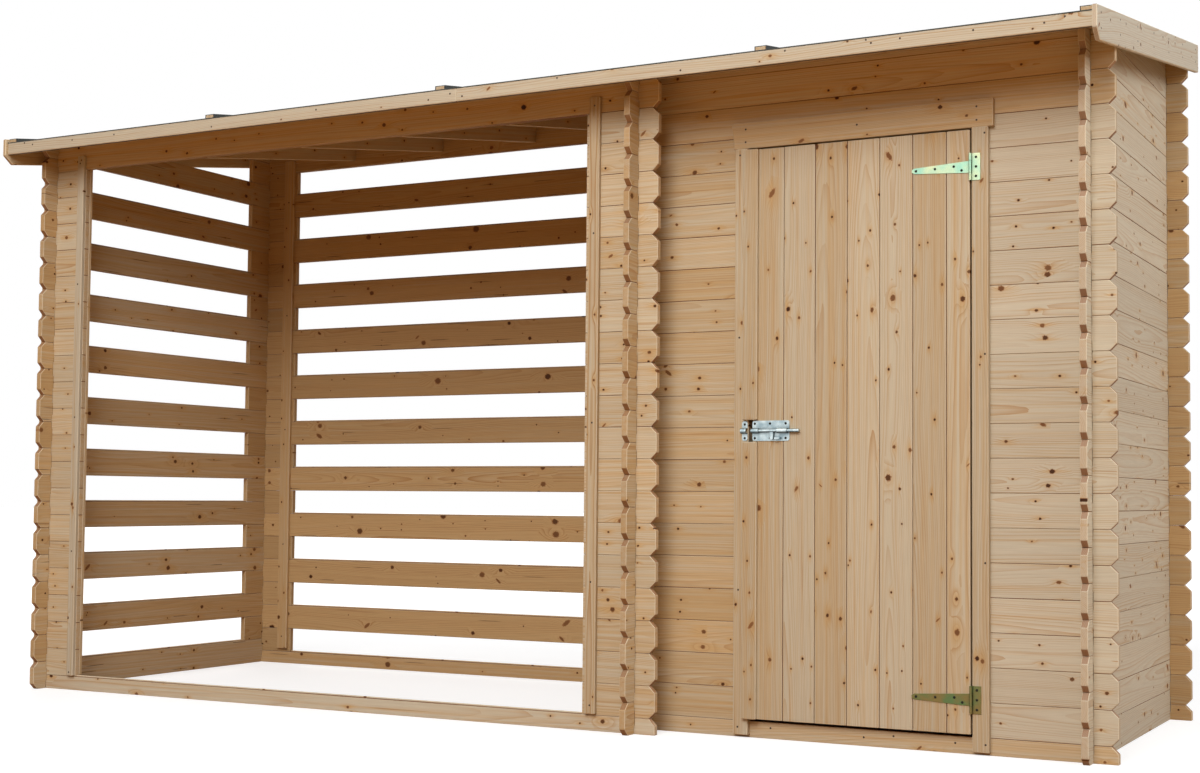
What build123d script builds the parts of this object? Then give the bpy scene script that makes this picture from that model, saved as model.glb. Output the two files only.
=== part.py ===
from build123d import *
import math
import os

# A lean-to garden shed of notched logs with an open, slatted log store on its left side.
# Millimetres. While it is built, X runs from the outer face of the left wall to the right,
# Y runs back from the front face of the store, and Z runs up from the ground.

# Logs
row = 93.0                  # height of one log
wall = 19.0                 # thickness of a log
log_joint = 0.4             # gap between two logs of one stack
tail = 65.0                 # how far a front or back log runs past the wall that it crosses
left_tail = 46.0            # the same at the left wall, where the roof reaches out less
side_tail = 57.0            # how far a side log runs past the wall that it crosses
end_cut = 19.0              # corner cut on the end of a log
notch_play = 0.2            # play above and below a log in its notch
notch_slit = 1.0            # play on each side of a log in its notch
tip = 4.0                   # least height of a log that the roof cuts to a wedge

# Walls
store_width = 2344.0        # outer face of the left wall to right face of the partition
depth = 1160.0              # front face of the store to outer face of the back wall
shed_set_back = 110.0       # front of the store to front of the shed
header_row = 20             # row of the log over the store front
back_row = 22               # top row of the back wall
left_stub = 137.0           # short store front logs, from the left wall inwards
right_stub = 154.0          # short store front logs, from the partition inwards
side_stub = 108.0           # short left wall logs, from front and back wall inwards
back_stub = 146.0           # short back wall logs, from left wall and partition inwards

# Roof
deck_thickness = 15.0
left_overhang = 49.0        # deck past the outer face of the left wall
right_overhang = 70.0       # deck past the outer face of the right wall
front_overhang = 150.0      # deck past the store front
back_overhang = 68.0        # deck past the back wall
felt_thickness = 3.0
batten_width = 32.0
batten_thickness = 12.0
batten_places = (838.0, 1736.0, 2784.0)     # inner battens, from the left wall
batten_reach = 8.0          # battens past the deck at front and back
barge_thickness = 13.0
barge_height = 88.0
barge_rise = 16.0           # top of the bargeboards over the deck
barge_plumb = 57.0          # upright part of the bargeboard's nose
barge_nose = 35.0           # length of the cut under the nose
barge_reach = 10.0          # bargeboards past the front fascia
fascia_thickness = 15.0
fascia_height = 40.0
rear_fascia_thickness = 12.0
rafter_width = 19.0
rafter_height = 70.0
rafter_first = 446.0        # centre of the first rafter from the left wall
rafter_pitch = 423.0
rafter_play = 0.3           # gap between a rafter's end and the wall

# Boards round the openings
trim_thickness = 13.0
jamb_thickness = 19.0
left_trim_width = 30.0
right_trim_width = 35.0
right_trim_shift = 14.0     # the right trim stands this far in from the ends of the short logs
trim_foot = 50.0
post_width = 42.0
batten_foot = 60.0
corner_batten_width = 47.0
corner_batten_inset = 11.0

# Doorway and door
doorway_offset = 314.0      # partition to doorway
doorway_width = 656.0
doorway_return = 316.0      # doorway to the outer face of the right wall
door_foot = 55.0
door_head_drop = 226.5      # top of the store's header log down to the top of the door
door_top_gap = 10.0         # door to the wall above it
door_left_gap = 13.0
door_right_gap = 5.0
leaf_thickness = 16.0
leaf_behind = 4.5           # back of the door boards to the wall's front face
board_pitch = 95.5
board_joint = 0.6
board_bevel = 2.5
jamb_width = 45.0
jamb_foot = 8.0
head_gap = 6.0
head_height = 76.0
head_left = 3.0             # head board past the left jamb
head_right = 14.0           # head board past the right jamb
head_slant = 10.0
strip_width = 45.0
strip_lap = 14.0            # closing strip over the jamb
strip_thickness = 12.0
strip_cut = 2.5             # closing strip to the bolt's plate
ledge_height = 70.0
ledge_thickness = 16.0
ledge_inset = 9.0

# Hinges
lower_hinge = 92.0          # bottom of the door to the middle of the lower hinge
upper_hinge = 102.0         # top of the door to the middle of the upper hinge
barrel_radius = 4.0
pin_radius = 2.0
pin_play = 0.3
pin_sides = 12              # flats that stand for the round of a pin or rod
rod_sides = 16
knuckle_play = 0.5
sheet = 2.0                 # thickness of hinge and bolt plates
strap_length = 165.0
strap_root = 33.0
strap_tip = 15.0
plate_width = 24.0
plate_height = 74.0

# Bolt
bolt_height = 816.0         # bottom of the door to the bolt
bolt_inset = 1.0
bolt_plate_length = 114.0
bolt_plate_height = 58.0
rod_radius = 5.0
rod_length = 148.0
rod_play = 1.0
rod_travel = 30.0
rod_shot = 31.0             # tip past the door's edge when the bolt is shot
guide_wall = 1.5
plate_corner = 6.0
left_guide = 20.0
right_guide = 31.0
knob_width = 10.0
knob_drop = 26.0
knob_thickness = 6.0
knob_from_tip = 64.0
staple_gap = 5.0
staple_width = 16.0
staple_reach = 12.0
staple_wire = 3.0
staple_height = 6.0
keep_width = 17.0
keep_gap = 2.0              # keep back from the jamb's edge
keep_foot = 22.0
keep_metal = 2.0

# Values that follow from the sizes above
partition_left = store_width - wall
door_left = store_width + doorway_offset
door_right = door_left + doorway_width
length = door_right + doorway_return
back_face = depth - wall
shed_back = shed_set_back + wall
eaves = (header_row + 0.5) * row
slope = (back_row - header_row) * row / (depth - 2 * wall)
deck_left = -left_overhang
deck_right = length + right_overhang
deck_rise = deck_thickness * math.sqrt(1 + slope * slope)
barge_drop = barge_height * math.sqrt(1 + slope * slope)
front_edge = -front_overhang
back_edge = depth + back_overhang
door_top = eaves - door_head_drop
opening_top = door_top + door_top_gap


def roof_z(y):
    return eaves + slope * (y - wall)


def roof_y(z):
    return wall + (z - eaves) / slope


shift = Location((-(deck_left + deck_right) / 2, -(front_edge - fascia_thickness - barge_reach + back_edge
                                                   + rear_fascia_thickness) / 2, 0))

os.makedirs("parts", exist_ok=True)


def save(name, solids):
    # Writes one node; pieces that are alike may share it as solids that don't touch.
    pieces = []
    for item in solids:
        pieces.extend(item.solids())
    shape = pieces[0] if len(pieces) == 1 else Compound(children=pieces)
    export_step(shape.moved(shift), "parts/" + name + ".step")


def block(x0, x1, y0, y1, z0, z1):
    return Pos((x0 + x1) / 2, (y0 + y1) / 2, (z0 + z1) / 2) * Box(x1 - x0, y1 - y0, z1 - z0)


def along_x(points, x0, x1):
    # Solid whose outline is given as (y, z), from x0 to x1.
    face = make_face(Polyline(*[(x0, y, z) for y, z in points], close=True))
    return extrude(face, amount=x1 - x0, dir=(1, 0, 0))


def along_y(points, y0, y1):
    # Solid whose outline is given as (x, z), from y0 to y1.
    face = make_face(Polyline(*[(x, y0, z) for x, z in points], close=True))
    return extrude(face, amount=y1 - y0, dir=(0, 1, 0))


def along_z(points, z0, z1):
    # Solid whose outline is given as (x, y), from z0 to z1.
    face = make_face(Polyline(*[(x, y, z0) for x, y in points], close=True))
    return extrude(face, amount=z1 - z0, dir=(0, 0, 1))


def log_outline(start, end, low, high, keep_low, keep_high, crossings, ends):
    # The long face of a log. Each crossing is the near face of the wall that it passes: there the log is
    # notched from below up to keep_low and from above down to keep_high. ends says which ends are chamfered.
    a = end_cut if ends[0] else 0.0
    b = end_cut if ends[1] else 0.0
    points = []
    if ends[0]:
        points.append((start, low + a))
    points.append((start + a, low))
    if keep_low > low:
        for c in sorted(crossings):
            c0 = c - notch_slit
            c1 = c + wall + notch_slit
            points.extend([(c0, low), (c0, keep_low), (c1, keep_low), (c1, low)])
    points.append((end - b, low))
    if ends[1]:
        points.append((end, low + b))
        points.append((end, high - b))
    points.append((end - b, high))
    if keep_high < high:
        for c in sorted(crossings, reverse=True):
            c0 = c - notch_slit
            c1 = c + wall + notch_slit
            points.extend([(c1, high), (c1, keep_high), (c0, keep_high), (c0, high)])
    points.append((start + a, high))
    if ends[0]:
        points.append((start, high - a))
    return points


def cross_log(k, x0, x1, y, crossings, ends, high=None):
    # A log that runs from left to right. Row 0 is half a log that lies on the ground.
    low = max(k - 0.5, 0) * row
    keep_low = (k - 0.25) * row + notch_play if k > 0 else low
    top = (k + 0.5) * row - log_joint if high is None else high
    keep_high = (k + 0.25) * row - notch_play
    ends_here = ends
    if k == 0:
        # Half a log keeps only the upper corner cut.
        points = log_outline(x0, x1, low, top, keep_low, keep_high, crossings, (False, False))
        first = (x0, top)
        last = (x1, top)
        fixed = []
        for p in points:
            if p == first and ends_here[0]:
                fixed.extend([(x0 + end_cut, top), (x0, top - end_cut)])
            elif p == last and ends_here[1]:
                fixed.extend([(x1, top - end_cut), (x1 - end_cut, top)])
            else:
                fixed.append(p)
        points = fixed
    else:
        points = log_outline(x0, x1, low, top, keep_low, keep_high, crossings, ends_here)
    return along_y(points, y, y + wall)


def side_log(k, y0, y1, x, crossings, ends):
    # A log that runs from front to back, half a row higher than the logs that it crosses.
    low = k * row
    high = (k + 1) * row - log_joint
    keep_low = (k + 0.25) * row + notch_play
    keep_high = (k + 0.75) * row - notch_play
    if k == 0:
        keep_low = (0.25) * row + notch_play
    points = log_outline(y0, y1, low, high, keep_low, keep_high, crossings, ends)
    return along_x(points, x, x + wall)


under_roof = along_x([(-2 * front_overhang, -row), (2 * depth, -row), (2 * depth, roof_z(2 * depth)),
                      (-2 * front_overhang, roof_z(-2 * front_overhang))],
                     4 * deck_left, length + 4 * right_overhang)


def full_side(k, x, y0, crossings):
    # A side log over the whole depth, or, above the eaves, from where the roof leaves it enough height.
    start = max(y0, roof_y(k * row + tip))
    if start > y0:
        near = [c for c in crossings if c > start + wall]
        return side_log(k, start, depth + side_tail, x, near, (False, True)) & under_roof
    made = side_log(k, y0, depth + side_tail, x, crossings, (True, True))
    if roof_z(y0) < (k + 1) * row:
        made = made & under_roof
    return made


# Store front: sill, header and the short logs at each end
save("store_sill", [cross_log(0, -left_tail, store_width + tail, 0, [0, partition_left], (True, True))])
header = cross_log(header_row, -left_tail, store_width + tail, 0, [0, partition_left], (True, True),
                   high=eaves)
save("store_header", [header & under_roof])
short_left = []
short_right = []
for k in range(1, header_row):
    short_left.append(cross_log(k, -left_tail, wall + left_stub, 0, [0], (True, False)))
    short_right.append(cross_log(k, partition_left - right_stub, store_width + tail, 0, [partition_left],
                                 (False, True)))
save("store_front_left_stubs", short_left)
save("store_front_right_stubs", short_right)

# Left wall: every second log runs through, with short logs between them at the corners
slats = []
stubs = []
for k in range(0, back_row + 1):
    if k % 2 == 0:
        slats.append(full_side(k, 0, -side_tail, [0, back_face]))
    else:
        if k * row + tip < roof_z(-side_tail):
            front = side_log(k, -side_tail, wall + side_stub, 0, [0], (True, False))
            if roof_z(-side_tail) < (k + 1) * row:
                front = front & under_roof
            stubs.append(front)
        back = side_log(k, back_face - side_stub, depth + side_tail, 0, [back_face], (False, True))
        stubs.append(back)
save("left_wall_slats", slats)
save("left_wall_stubs", stubs)

# Partition and right wall
between = []
right = []
for k in range(0, back_row + 1):
    between.append(full_side(k, partition_left, -side_tail, [0, shed_set_back, back_face]))
    right.append(full_side(k, length - wall, shed_set_back - side_tail, [shed_set_back, back_face]))
save("partition_wall", between)
save("right_wall", right)

# Shed front
shed_left = partition_left - tail
shed_right = length + tail
shed_crossings = [partition_left, length - wall]
save("shed_threshold", [cross_log(0, shed_left, shed_right, shed_set_back, shed_crossings, (True, True))])
door_rows = math.ceil(opening_top / row + 0.5) - 1
left_logs = []
right_logs = []
for k in range(1, door_rows + 1):
    left_logs.append(cross_log(k, shed_left, door_left, shed_set_back, [partition_left], (True, False)))
    right_logs.append(cross_log(k, door_right, shed_right, shed_set_back, [length - wall], (False, True)))
save("shed_front_left_logs", left_logs)
save("shed_front_right_logs", right_logs)
top_logs = []
strip_top = (door_rows + 0.5) * row - log_joint
if strip_top - opening_top > tip:
    top_logs.append(block(door_left + log_joint, door_right - log_joint, shed_set_back, shed_back,
                          opening_top, strip_top))
for k in range(door_rows + 1, header_row):
    top_logs.append(cross_log(k, shed_left, shed_right, shed_set_back, shed_crossings, (True, True)))
upper = cross_log(header_row, shed_left, shed_right, shed_set_back, shed_crossings, (True, True),
                  high=roof_z(shed_back))
top_logs.append(upper & under_roof)
save("shed_front_top_logs", top_logs)

# Back wall: every second log runs through; behind the shed the rows between are filled
long_logs = []
corner_logs = []
shed_logs = []
for k in range(0, back_row + 1):
    if k % 2 == 0:
        top = None
        if k == back_row:
            top = roof_z(depth)
        made = cross_log(k, -left_tail, length + tail, back_face, [0, partition_left, length - wall],
                         (True, True), high=top)
        if k == back_row:
            made = made & under_roof
        long_logs.append(made)
    else:
        corner_logs.append(cross_log(k, -left_tail, wall + back_stub, back_face, [0], (True, False)))
        shed_logs.append(cross_log(k, partition_left - back_stub, length + tail, back_face,
                                   [partition_left, length - wall], (False, True)))
save("back_wall_long_logs", long_logs)
save("back_wall_corner_stubs", corner_logs)
save("back_wall_shed_logs", shed_logs)

# Roof: deck, felt, battens, bargeboards, fascias and rafters


def roof_layer(lift, rise, y0, y1, x0, x1):
    return along_x([(y0, roof_z(y0) + lift), (y1, roof_z(y1) + lift), (y1, roof_z(y1) + lift + rise),
                    (y0, roof_z(y0) + lift + rise)], x0, x1)


save("roof_deck", [roof_layer(0, deck_rise, front_edge, back_edge, deck_left, deck_right)])
save("roof_felt", [roof_layer(deck_rise, felt_thickness, front_edge, back_edge, deck_left, deck_right)])
battens = []
for x in (deck_left, *batten_places, deck_right - batten_width):
    battens.append(roof_layer(deck_rise + felt_thickness, batten_thickness, front_edge - batten_reach,
                              back_edge + batten_reach, x, x + batten_width))
save("roof_battens", battens)
barge_front = front_edge - fascia_thickness - barge_reach
barge_back = back_edge + rear_fascia_thickness


def barge_top(y):
    return roof_z(y) + deck_rise + barge_rise


barge = [(barge_front, barge_top(barge_front)), (barge_back, barge_top(barge_back)),
         (barge_back, barge_top(barge_back) - barge_drop),
         (barge_front + barge_nose, barge_top(barge_front + barge_nose) - barge_drop),
         (barge_front, barge_top(barge_front) - barge_plumb)]
save("left_bargeboard", [along_x(barge, deck_left - barge_thickness, deck_left)])
save("right_bargeboard", [along_x(barge, deck_right, deck_right + barge_thickness)])
fascia_top = roof_z(front_edge) + deck_rise
fascia_middle = length / 2
save("front_fascia_left", [block(deck_left, fascia_middle - log_joint / 2, front_edge - fascia_thickness,
                                 front_edge, fascia_top - fascia_height, fascia_top)])
save("front_fascia_right", [block(fascia_middle + log_joint / 2, deck_right, front_edge - fascia_thickness,
                                  front_edge, fascia_top - fascia_height, fascia_top)])
rear_top = roof_z(back_edge) + deck_rise
save("rear_fascia", [block(deck_left, deck_right, back_edge, back_edge + rear_fascia_thickness,
                           rear_top - fascia_height, rear_top)])
rafters = []
centre = rafter_first
while centre < length - wall - 2 * rafter_width:
    if centre < partition_left - rafter_width:
        rafters.append(roof_layer(-rafter_height, rafter_height, wall + rafter_play, back_face - rafter_play,
                                  centre - rafter_width / 2, centre + rafter_width / 2))
    elif centre > store_width + rafter_width:
        rafters.append(roof_layer(-rafter_height, rafter_height, shed_back + rafter_play,
                                  back_face - rafter_play, centre - rafter_width / 2,
                                  centre + rafter_width / 2))
    centre = centre + rafter_pitch
save("rafters", rafters)

# Boards at the store's opening and in its back corners
trim_top = header_row * row
left_end = wall + left_stub
right_end = partition_left - right_stub
save("left_opening_trim", [block(left_end - left_trim_width, left_end, -trim_thickness, 0, trim_foot, trim_top)])
save("right_opening_trim", [block(right_end + right_trim_shift, right_end + right_trim_shift + right_trim_width,
                                  -trim_thickness, 0, trim_foot, trim_top)])
save("left_opening_post", [block(left_end - left_trim_width, left_end, wall, wall + trim_thickness,
                                 trim_foot, trim_top)])
save("right_opening_post", [block(right_end, right_end + post_width, wall, wall + trim_thickness,
                                  trim_foot, trim_top)])
batten_left = wall + back_stub - corner_batten_inset
batten_right = partition_left - back_stub + corner_batten_inset
save("back_corner_battens", [block(batten_left - corner_batten_width, batten_left, back_face - trim_thickness,
                                   back_face, batten_foot, back_row * row),
                             block(batten_right, batten_right + corner_batten_width,
                                   back_face - trim_thickness, back_face, batten_foot, back_row * row)])

# Door surround
jamb_front = shed_set_back - jamb_thickness
save("door_jamb_left", [block(door_left - jamb_width, door_left, jamb_front, shed_set_back, jamb_foot,
                              door_top + head_gap - log_joint)])
save("door_jamb_right", [block(door_right, door_right + jamb_width, jamb_front, shed_set_back, jamb_foot,
                               door_top + head_gap - log_joint)])
head_z = door_top + head_gap
head_start = door_left - jamb_width - head_left
save("door_head_board", [along_y([(head_start, head_z), (door_right + jamb_width + head_right, head_z),
                                  (door_right + jamb_width + head_right, head_z + head_height),
                                  (head_start - head_slant, head_z + head_height)],
                                 jamb_front, shed_set_back)])

# Door leaf: upright boards with bevelled edges, the last one sawn to fit
leaf_back = shed_set_back - leaf_behind
leaf_front = leaf_back - leaf_thickness
leaf_left = door_left + door_left_gap
leaf_right = door_right - door_right_gap
boards = []
x = leaf_left
while x < leaf_right - board_pitch / 4:
    x1 = min(x + board_pitch, leaf_right + board_joint)
    boards.append(along_z([(x, leaf_back), (x, leaf_front + board_bevel), (x + board_bevel, leaf_front),
                           (x1 - board_joint - board_bevel, leaf_front),
                           (x1 - board_joint, leaf_front + board_bevel), (x1 - board_joint, leaf_back)],
                          door_foot, door_top))
    x = x + board_pitch
save("door_boards", boards)

bolt_z = door_foot + bolt_height
strip_left = door_left - strip_lap
cut_low = bolt_z - bolt_plate_height / 2 - strip_cut
cut_high = bolt_z + bolt_plate_height / 2 + strip_cut
save("door_closing_strip", [block(strip_left, strip_left + strip_width, leaf_front - strip_thickness, leaf_front,
                                  door_foot, cut_low),
                            block(strip_left, strip_left + strip_width, leaf_front - strip_thickness, leaf_front,
                                  cut_high, door_top)])

# Ledges and braces behind the boards, one frame
low_z = door_foot + lower_hinge
high_z = door_top - upper_hinge
ledge_left = leaf_left + ledge_inset
ledge_right = leaf_right - ledge_inset
frame = None
for z in (low_z, bolt_z, high_z):
    ledge = block(ledge_left, ledge_right, leaf_back, leaf_back + ledge_thickness, z - ledge_height / 2,
                  z + ledge_height / 2)
    frame = ledge if frame is None else frame + ledge
for z0, z1 in ((low_z, bolt_z), (bolt_z, high_z)):
    brace = along_y([(ledge_right - ledge_height, z0 + ledge_height / 4), (ledge_right, z0 + ledge_height / 4),
                     (ledge_left + ledge_height, z1 - ledge_height / 4), (ledge_left, z1 - ledge_height / 4)],
                    leaf_back, leaf_back + ledge_thickness)
    frame = frame + brace
save("door_ledges", [frame])

# T-hinges: a long strap on the door and an upright plate on the jamb, with a pin between them
axis_x = door_right - door_right_gap / 2
axis_y = leaf_front - barrel_radius


def upright_bar(radius, middle, height):
    # An upright bar on the hinge's axis.
    face = Pos(axis_x, axis_y, middle - height / 2) * RegularPolygon(radius, pin_sides)
    return extrude(face, amount=height, dir=(0, 0, 1))


def strap(z):
    half = strap_root / 2
    end = strap_tip / 2
    far = axis_x - strap_length
    shape = along_y([(axis_x, z - half), (axis_x, z + half), (far + end, z + end), (far, z + end / 2),
                     (far, z - end / 2), (far + end, z - end)], leaf_front - sheet, leaf_front)
    shape = shape + upright_bar(barrel_radius, z, strap_root)
    return shape - upright_bar(pin_radius + pin_play, z, strap_root + sheet)


def jamb_plate(z):
    inner = axis_x + barrel_radius * 0.8
    shape = block(inner, inner + plate_width, jamb_front - sheet, jamb_front, z - plate_height / 2,
                  z + plate_height / 2)
    knuckle = plate_height / 2 - strap_root / 2 - knuckle_play
    for sign in (-1, 1):
        middle = z + sign * (plate_height / 2 - knuckle / 2)
        shape = shape + block(axis_x, inner + sheet, jamb_front - sheet * 1.5, jamb_front, middle - knuckle / 2,
                              middle + knuckle / 2)
        shape = shape + upright_bar(barrel_radius, middle, knuckle)
    return shape + upright_bar(pin_radius, z, plate_height)


save("upper_hinge_strap", [strap(high_z)])
save("lower_hinge_strap", [strap(low_z)])
save("upper_hinge_plate", [jamb_plate(high_z)])
save("lower_hinge_plate", [jamb_plate(low_z)])

# Bolt, drawn: plate with two guides, a padlock staple, and the rod with its hanging knob
bolt_left = leaf_left + bolt_inset
bolt_right = bolt_left + bolt_plate_length
plate_front = leaf_front - sheet
rod_y = plate_front - rod_play - rod_radius
bore = rod_radius + rod_play


def arch(x0, x1, back, radius):
    # A round-topped cover over the rod, down to the given back face.
    points = [(back, bolt_z - radius)]
    for n in range(rod_sides // 2 + 1):
        turn = math.pi * n / (rod_sides // 2)
        points.append((rod_y - radius * math.sin(turn), bolt_z - radius * math.cos(turn)))
    points.append((back, bolt_z + radius))
    return along_x(points, x0, x1)


def rounded(x0, x1, z0, z1, radius):
    # Outline of a plate with rounded corners.
    points = []
    for cx, cz, first in ((x1 - radius, z1 - radius, 0), (x0 + radius, z1 - radius, 90),
                          (x0 + radius, z0 + radius, 180), (x1 - radius, z0 + radius, 270)):
        for n in range(4):
            turn = math.radians(first + 30 * n)
            points.append((cx + radius * math.cos(turn), cz + radius * math.sin(turn)))
    return points


plate_low = bolt_z - bolt_plate_height / 2
plate = along_y(rounded(bolt_left, bolt_right, plate_low, plate_low + bolt_plate_height, plate_corner),
                plate_front, leaf_front)
for x0, x1 in ((bolt_left + sheet, bolt_left + sheet + left_guide),
               (bolt_right - sheet * 2 - right_guide, bolt_right - sheet * 2)):
    plate = plate + (arch(x0, x1, plate_front, bore + guide_wall) - arch(x0 - sheet, x1 + sheet, plate_front,
                                                                         bore))
save("bolt_plate", [plate])

rest_tip = leaf_left - rod_shot + rod_travel
knob_x = rest_tip + knob_from_tip
staple_x = knob_x + knob_width / 2 + staple_gap
staple_z = plate_low + staple_height * 1.2
loop = along_z([(staple_x, plate_front), (staple_x, plate_front - staple_reach),
                (staple_x + staple_width, plate_front - staple_reach), (staple_x + staple_width, plate_front),
                (staple_x + staple_width - staple_wire, plate_front),
                (staple_x + staple_width - staple_wire, plate_front - staple_reach + staple_wire),
                (staple_x + staple_wire, plate_front - staple_reach + staple_wire),
                (staple_x + staple_wire, plate_front)],
               staple_z - staple_height / 2, staple_z + staple_height / 2)
save("padlock_staple", [loop])

section = Plane((rest_tip, rod_y, bolt_z), x_dir=(0, 1, 0), z_dir=(1, 0, 0)) * RegularPolygon(rod_radius,
                                                                                             rod_sides)
rod = extrude(section, amount=rod_length, dir=(1, 0, 0))
tab = along_y(rounded(knob_x - knob_width / 2, knob_x + knob_width / 2, bolt_z - knob_drop, bolt_z,
                      knob_width * 0.45), rod_y - knob_thickness / 2, rod_y + knob_thickness / 2)
save("bolt_rod", [rod + tab])

keep_right = door_left - keep_gap
keep_left = keep_right - keep_width
keep = along_y(rounded(keep_left, keep_right, bolt_z - bore - keep_foot, bolt_z + bore + keep_foot,
                       plate_corner), jamb_front - keep_metal, jamb_front)
keep = keep + arch(keep_left, keep_right, jamb_front, bore + keep_metal)
keep = keep - arch(keep_left - sheet, keep_right + sheet, jamb_front + sheet, bore)
save("bolt_keep", [keep])
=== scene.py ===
import math

import bmesh
import bpy
from mathutils import Matrix, Vector


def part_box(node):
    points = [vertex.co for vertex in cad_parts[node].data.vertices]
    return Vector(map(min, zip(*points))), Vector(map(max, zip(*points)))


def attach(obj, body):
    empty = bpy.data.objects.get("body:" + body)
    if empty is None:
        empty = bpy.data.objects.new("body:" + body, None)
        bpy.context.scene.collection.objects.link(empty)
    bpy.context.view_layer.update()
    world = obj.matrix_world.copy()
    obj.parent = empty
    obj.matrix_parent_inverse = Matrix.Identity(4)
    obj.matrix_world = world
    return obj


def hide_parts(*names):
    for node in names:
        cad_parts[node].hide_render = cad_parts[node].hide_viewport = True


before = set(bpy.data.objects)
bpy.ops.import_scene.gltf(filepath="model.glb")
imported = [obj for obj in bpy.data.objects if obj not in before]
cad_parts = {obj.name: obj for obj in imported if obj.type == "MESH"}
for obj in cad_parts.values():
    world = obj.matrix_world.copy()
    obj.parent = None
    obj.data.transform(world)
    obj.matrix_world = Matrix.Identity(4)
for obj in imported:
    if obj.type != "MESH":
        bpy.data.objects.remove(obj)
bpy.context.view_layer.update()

# Store front: the sill, the header and the short notched logs at both ends of the opening.
# They are planed spruce boards 19 mm thick with slightly eased edges, stacked and notched into
# the walls that they cross, so the joints between them read as fine dark lines.
ROW = 0.093
WALL = 0.019
LOG_JOINT = 0.0004
ORIGIN_X = 1.8255           # the frame's origin, from the outer face of the left wall
ORIGIN_Y = 0.5325           # the frame's origin, from the front face of the store
EASED = 0.0013
SHARP = math.radians(20)
FLAT = math.radians(1.0)
SAME_SPOT = 0.00002
SPRUCE_LIGHT = (0.612, 0.525, 0.378)
SPRUCE_PALE = (0.630, 0.590, 0.490)
SPRUCE_WARM = (0.590, 0.400, 0.200)
SPRUCE_LATE = (0.440, 0.235, 0.085)
SPRUCE_END = (0.480, 0.300, 0.150)
EDGE_HIGHLIGHT = (0.830, 0.740, 0.560)
NOTCH_GRAIN_AND_SHADE = (0.270, 0.110, 0.042)
JOINT_BROWN = (0.210, 0.085, 0.030)
KNOT_AND_SHADE_BROWN = (0.045, 0.017, 0.008)
KNOT_LIVE = (0.300, 0.130, 0.050)
KNOT_RIM = (0.300, 0.125, 0.042)
KNOT_CELL = (0.100, 0.045)  # each knot has a place of its own, this long and this wide
KNOT_LARGE = 0.0077
KNOT_PIN = 0.0030
KNOT_LEAST = 0.0015
KNOT_RAGGED = 210.0
KNOT_RIM_WIDTH = 0.0018
KNOT_CORE_WIDTH = 0.0012
SPIKES_OVER = 0.82          # a whorl's knot whose lot is over this shows as a spike
WHORL = 0.450
RING = 0.0042
RING_WAVE = 0.0024
WAVES = (5.0, 45.0, 45.0)   # rates per metre along, across and into a board
FIBRES = (14.0, 900.0, 900.0)
STREAKS = (1.6, 130.0, 60.0)
JOINT_LINE = 0.0012
PITH_SPREAD = 0.15          # how far the pith lies off from board to board, and along one board
PITH_DRIFT = 0.09
PITH_SHIFT = -0.12
PITH_DEPTH = 0.03
CRACK_HALF = (0.025, 0.0004)        # half the length and half the width of a drying crack
CRACK_FADE = (0.030, 0.0007)
CRACK_WANDER = 0.006


def wiring(owner):
    # Gives short ways to add a node, a sum, a mix and a noise to one material or to the sky.
    tree = owner.node_tree

    def add(kind, **inputs):
        node = tree.nodes.new("ShaderNode" + kind)
        for key, value in inputs.items():
            setattr(node, key, value)
        return node

    def put(socket, value):
        if isinstance(value, bpy.types.NodeSocket):
            tree.links.new(value, socket)
        else:
            socket.default_value = value

    def calc(operation, first, second=0.0, third=0.0, clamp=False):
        node = add("Math", operation=operation, use_clamp=clamp)
        put(node.inputs[0], first)
        put(node.inputs[1], second)
        put(node.inputs[2], third)
        return node.outputs[0]

    def mix(share, first, second):
        node = add("Mix", data_type="RGBA")
        put(node.inputs[0], share)
        put(node.inputs[6], first)
        put(node.inputs[7], second)
        return node.outputs[2]

    def noise(scale, detail=2.0, place=None):
        texture = add("TexNoise")
        if place is not None:
            put(texture.inputs["Vector"], place)
        put(texture.inputs["Scale"], scale)
        put(texture.inputs["Detail"], detail)
        return texture

    return add, put, calc, mix, noise


def cleared(owner, output):
    # Leaves a new material or sky nothing but its output, which is then its first node.
    owner.use_nodes = True
    for node in list(owner.node_tree.nodes):
        if node.type != output:
            owner.node_tree.nodes.remove(node)
    return owner


def new_material(name):
    return cleared(bpy.data.materials.new(name), "OUTPUT_MATERIAL")


def coat(material, colour, rough, metallic=0.0):
    # Gives a material its surface.
    add, put = wiring(material)[:2]
    surface = add("BsdfPrincipled")
    put(surface.inputs["Base Color"], colour)
    put(surface.inputs["Roughness"], rough)
    put(surface.inputs["Metallic"], metallic)
    put(material.node_tree.nodes[0].inputs["Surface"], surface.outputs[0])
    return surface


def relief(material, surface, height, strength, deep):
    # Lets a noise stand out from a surface.
    add, put = wiring(material)[:2]
    bump = add("Bump")
    put(bump.inputs["Strength"], strength)
    put(bump.inputs["Distance"], deep)
    put(bump.inputs["Height"], height)
    put(surface.inputs["Normal"], bump.outputs[0])


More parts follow.
